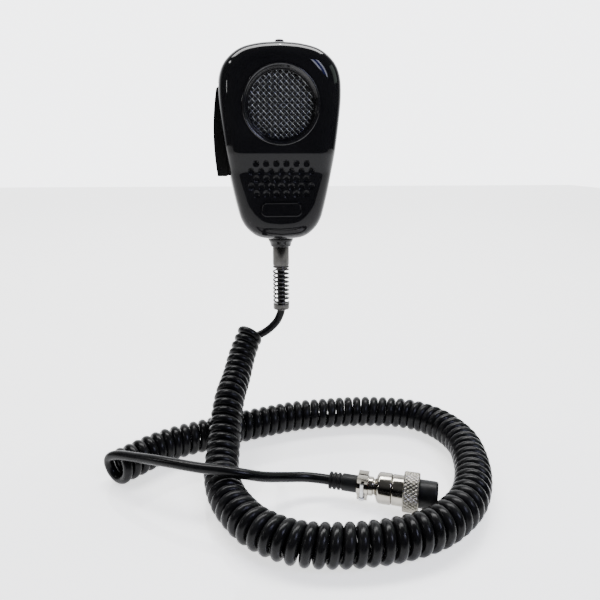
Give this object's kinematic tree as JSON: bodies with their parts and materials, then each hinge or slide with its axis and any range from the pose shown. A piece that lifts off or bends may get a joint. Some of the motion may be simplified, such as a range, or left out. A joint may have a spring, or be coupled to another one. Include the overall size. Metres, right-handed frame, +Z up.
{
  "type": "hand microphone",
  "caption": "Palm-held push-to-talk microphone with round woven grille, curly cord in a sprung strain relief and a locking round multi-pin plug.",
  "frame": {"origin": "middle of the hang stud's head, on its inner face, where a hang-up clip's plate bears", "axes": "+Y out of the back along the hang stud, +Z up the microphone from cord to top, +X to the viewer's right when the grille is seen"},
  "size_m": [0.189, 0.1669, 0.2124],
  "materials": {
    "case_front": "polished black ABS",
    "case_rear": "polished black ABS",
    "trim_black": "polished black",
    "mesh_steel": "drawn wire, satin",
    "foam": "open-cell foam",
    "aluminium_can": "drawn can, satin",
    "soft_rubber": "matt rubber",
    "bar_plastic": "satin to gloss black",
    "pin_steel": "ground",
    "switch_plastic": "moulded",
    "plunger_plastic": "moulded",
    "board_laminate": "solder mask",
    "component_body": "moulded",
    "screw_steel": "zinc plated",
    "wire_insulation": "PVC",
    "lamp_lens": "tinted lens",
    "badge_plastic": "polished, blank",
    "stud_nickel": "nickel plated",
    "crimp_brass": "pressed",
    "gland_rubber": "semi-gloss PVC",
    "relief_nickel": "nickel plated, slightly dull",
    "cord_jacket": "semi-gloss polyurethane",
    "plug_nickel": "nickel plated",
    "insert_plastic": "phenolic",
    "contact_brass": "gilt",
    "clip_steel": "spring steel"
  },
  "bodies": {
    "mic": {"front_shell": "case_front", "rear_shell": "case_rear", "grille_ring": "trim_black", "grille_mesh": "mesh_steel", "foam_screen": "foam", "capsule_can": "aluminium_can", "capsule_gasket": "soft_rubber", "ptt_pivot_pin": "pin_steel", "ptt_spring": "pin_steel", "switch_body": "switch_plastic", "circuit_board": "board_laminate", "board_components": "component_body", "board_screws": "screw_steel", "hookup_wires": "wire_insulation", "indicator_lamp": "lamp_lens", "badge_plate": "badge_plastic", "case_screws": "screw_steel", "hang_stud": "stud_nickel", "hang_stud_screw": "screw_steel", "cord_crimp": "crimp_brass", "cord_gland": "gland_rubber", "relief_sleeve": "relief_nickel", "relief_spring": "relief_nickel", "relief_ferrule": "relief_nickel", "cord_lead_in": "cord_jacket", "cord_coil": "cord_jacket", "cord_lead_out": "cord_jacket", "plug_boot": "soft_rubber", "plug_clamp": "plug_nickel", "clamp_screws": "screw_steel", "plug_shell": "plug_nickel", "plug_sleeve": "plug_nickel", "plug_insert": "insert_plastic", "plug_contacts": "contact_brass", "plug_wires": "wire_insulation", "plug_set_screw": "screw_steel"},
    "ptt_bar": {"ptt_bar": "bar_plastic"},
    "switch_plunger": {"switch_plunger": "plunger_plastic"},
    "nut_carrier": {"nut_clip": "clip_steel"},
    "coupling_nut": {"coupling_nut": "plug_nickel"}
  },
  "joints": [
    {"name": "ptt_press", "type": "hinge", "parent": "mic", "child": "ptt_bar", "pos_m": [-0.03, -0.017, 0.0105], "axis": [0, -1, 0], "range_deg": [0, 4.5], "stiffness_Nm_per_rad": 0.6, "springref_deg": -2.86, "deforming": ["ptt_spring"]},
    {"name": "switch_travel", "type": "slide", "parent": "mic", "child": "switch_plunger", "axis": [1, 0, 0], "range_m": [0, 0.0023]},
    {"name": "nut_slide", "type": "slide", "parent": "mic", "child": "nut_carrier", "axis": [0.9426, -0.3338, 0], "range_m": [0, 0.0044]},
    {"name": "nut_turn", "type": "hinge", "parent": "nut_carrier", "child": "coupling_nut", "pos_m": [0.05238, -0.12535, -0.1674], "axis": [0.9426, -0.3338, 0], "continuous": true}
  ],
  "couplings": [
    {"joint": "switch_travel", "follows": "ptt_press", "m_per_rad": 0.028}
  ]
}
